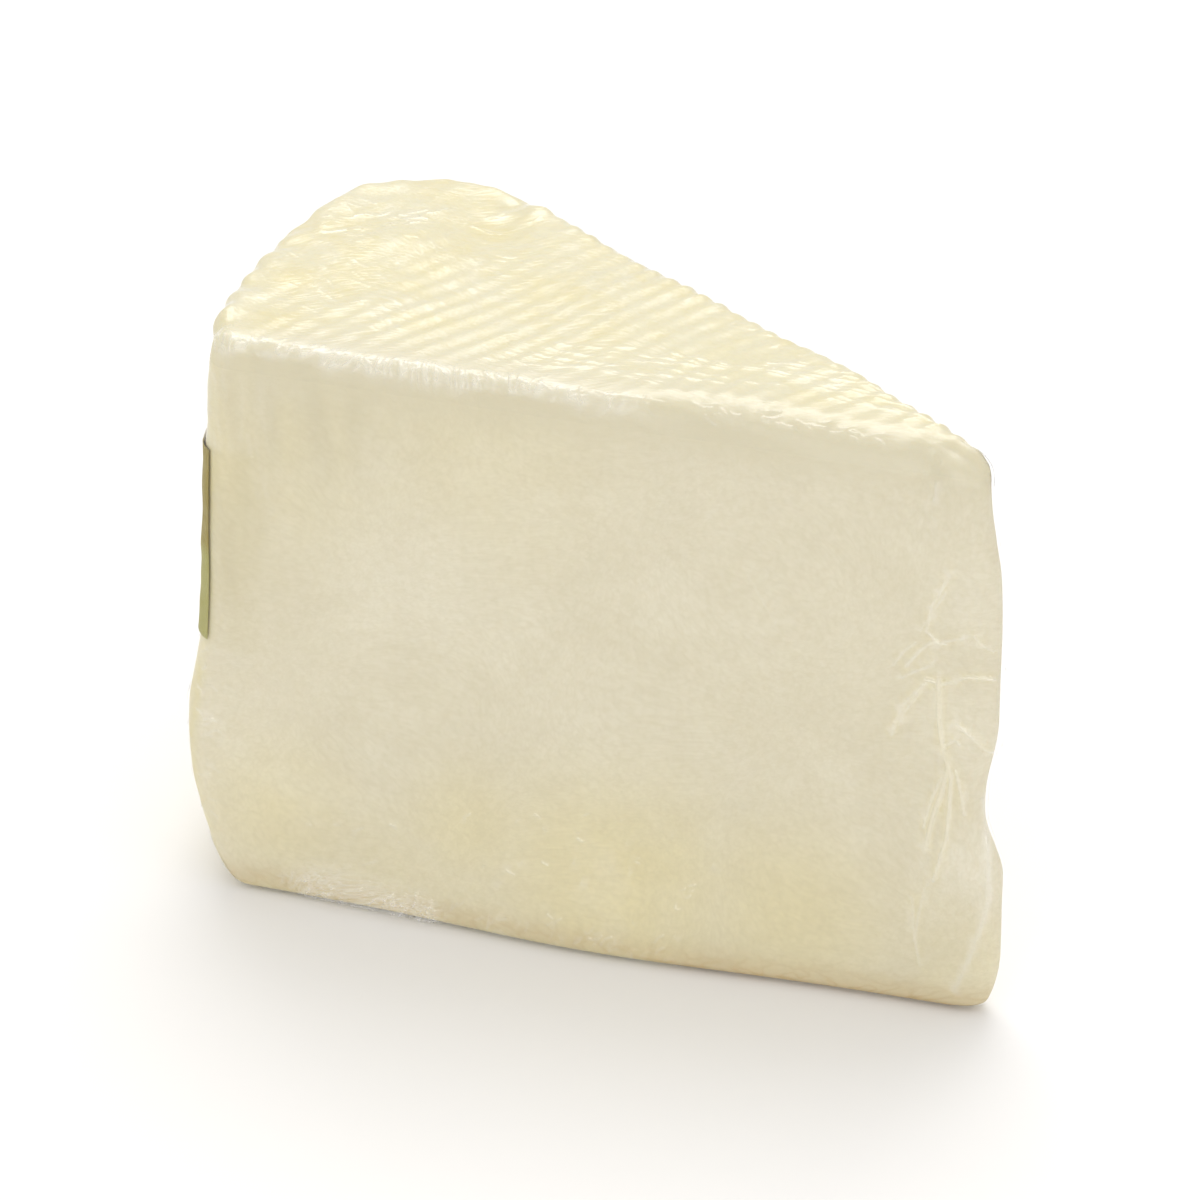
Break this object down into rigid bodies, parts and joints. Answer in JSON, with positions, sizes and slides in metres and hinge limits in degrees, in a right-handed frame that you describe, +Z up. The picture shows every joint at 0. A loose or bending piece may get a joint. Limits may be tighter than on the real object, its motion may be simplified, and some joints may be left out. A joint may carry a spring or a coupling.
{
  "type": "triple cream cheese wedge",
  "caption": "Wedge of soft triple cream cheese with a pale ridged rind, wrapped tightly in clear film, with a plain label on its rind.",
  "frame": {"origin": "middle of the wedge's box, on the surface that it stands on", "axes": "+X from the rind towards the wedge's point, -Y the cut face that faces the viewer, +Z up from the lower rind to the upper one"},
  "size_m": [0.1024, 0.0504, 0.0762],
  "materials": {
    "wrapped_cheese": "cream cheese and pale rind under clear glossy film",
    "label_paper": "plain muted green paper"
  },
  "bodies": {
    "root": {"wrapped_wedge": "wrapped_cheese", "rind_label": "label_paper"}
  },
  "joints": []
}
